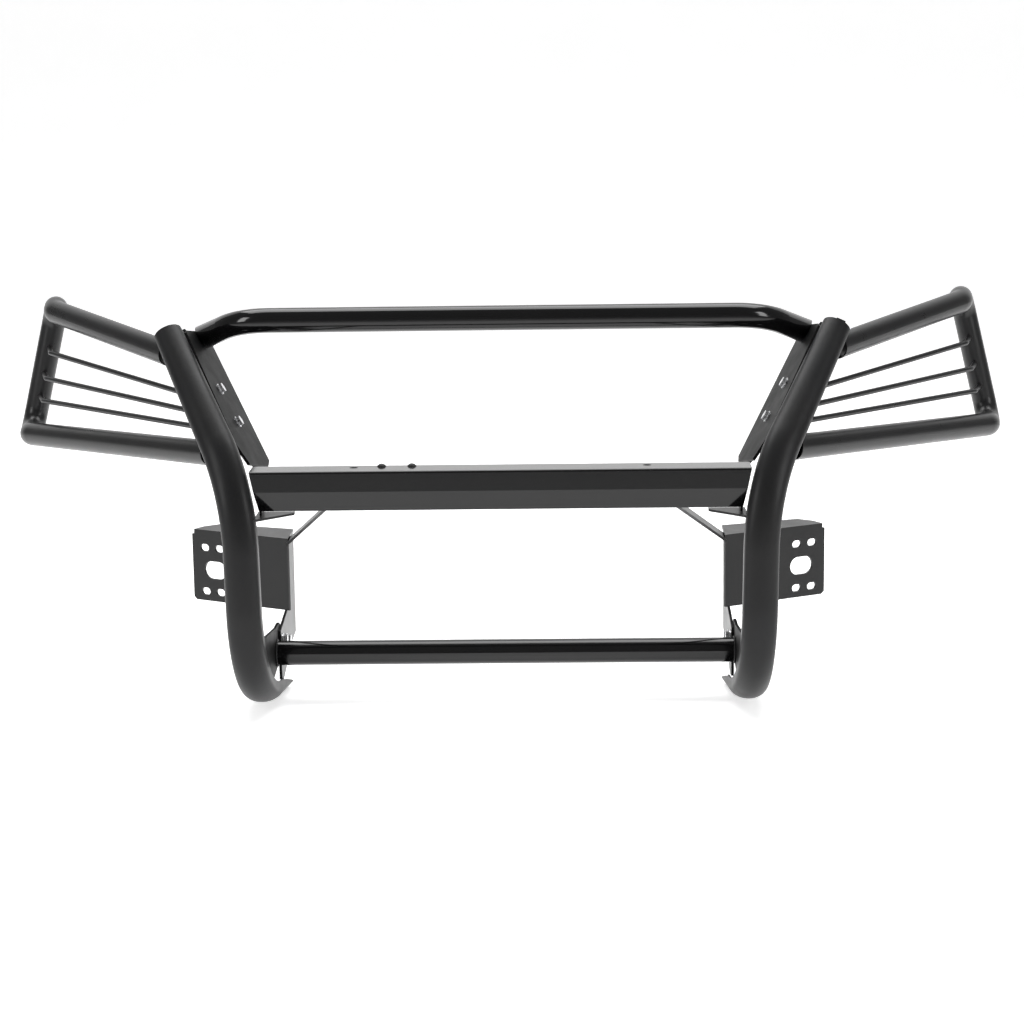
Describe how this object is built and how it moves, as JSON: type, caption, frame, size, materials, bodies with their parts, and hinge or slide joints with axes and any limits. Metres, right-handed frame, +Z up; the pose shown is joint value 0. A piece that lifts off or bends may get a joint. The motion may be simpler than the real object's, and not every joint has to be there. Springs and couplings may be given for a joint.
{
  "type": "front grille guard",
  "caption": "Bolt-on front grille guard for a pickup or large SUV, with headlight hoops, channel uprights, crossbars and frame brackets",
  "frame": {"origin": "middle of the guard's bounding box in X and Y, level with its lowest point", "axes": "+X is across the vehicle, towards the right as seen from the front; +Y points back towards the vehicle; +Z is up"},
  "size_m": [1.9012, 0.6982, 0.7053],
  "materials": {
    "satin_black": "satin black powder coat",
    "gloss_black": "glossy black coat",
    "wing_black": "semi-gloss black powder coat",
    "plate_black": "semi-gloss black powder coat on plate",
    "plug_black": "black plastic",
    "zinc_hardware": "bright zinc plated"
  },
  "bodies": {
    "root": {"bar_plugs": "plug_black", "centre_bar": "gloss_black", "left_arm_bolts": "zinc_hardware", "left_arm_nuts": "zinc_hardware", "left_arm_washers": "zinc_hardware", "left_bar_gusset": "plate_black", "left_bracket_arm": "plate_black", "left_bracket_brace": "plate_black", "left_frame_bracket": "plate_black", "left_lower_side_plate": "plate_black", "left_upper_side_plate": "plate_black", "left_upright": "satin_black", "left_wing_bolts": "zinc_hardware", "left_wing_loop": "wing_black", "left_wing_mount": "plate_black", "left_wing_nuts": "zinc_hardware", "left_wing_rod_lower": "wing_black", "left_wing_rod_middle": "wing_black", "left_wing_rod_upper": "wing_black", "left_wing_washers": "zinc_hardware", "lower_tube": "gloss_black", "right_arm_bolts": "zinc_hardware", "right_arm_nuts": "zinc_hardware", "right_arm_washers": "zinc_hardware", "right_bar_gusset": "plate_black", "right_bracket_arm": "plate_black", "right_bracket_brace": "plate_black", "right_frame_bracket": "plate_black", "right_lower_side_plate": "plate_black", "right_upper_side_plate": "plate_black", "right_upright": "satin_black", "right_wing_bolts": "zinc_hardware", "right_wing_loop": "wing_black", "right_wing_mount": "plate_black", "right_wing_nuts": "zinc_hardware", "right_wing_rod_lower": "wing_black", "right_wing_rod_middle": "wing_black", "right_wing_rod_upper": "wing_black", "right_wing_washers": "zinc_hardware", "top_tube": "gloss_black"}
  },
  "joints": []
}
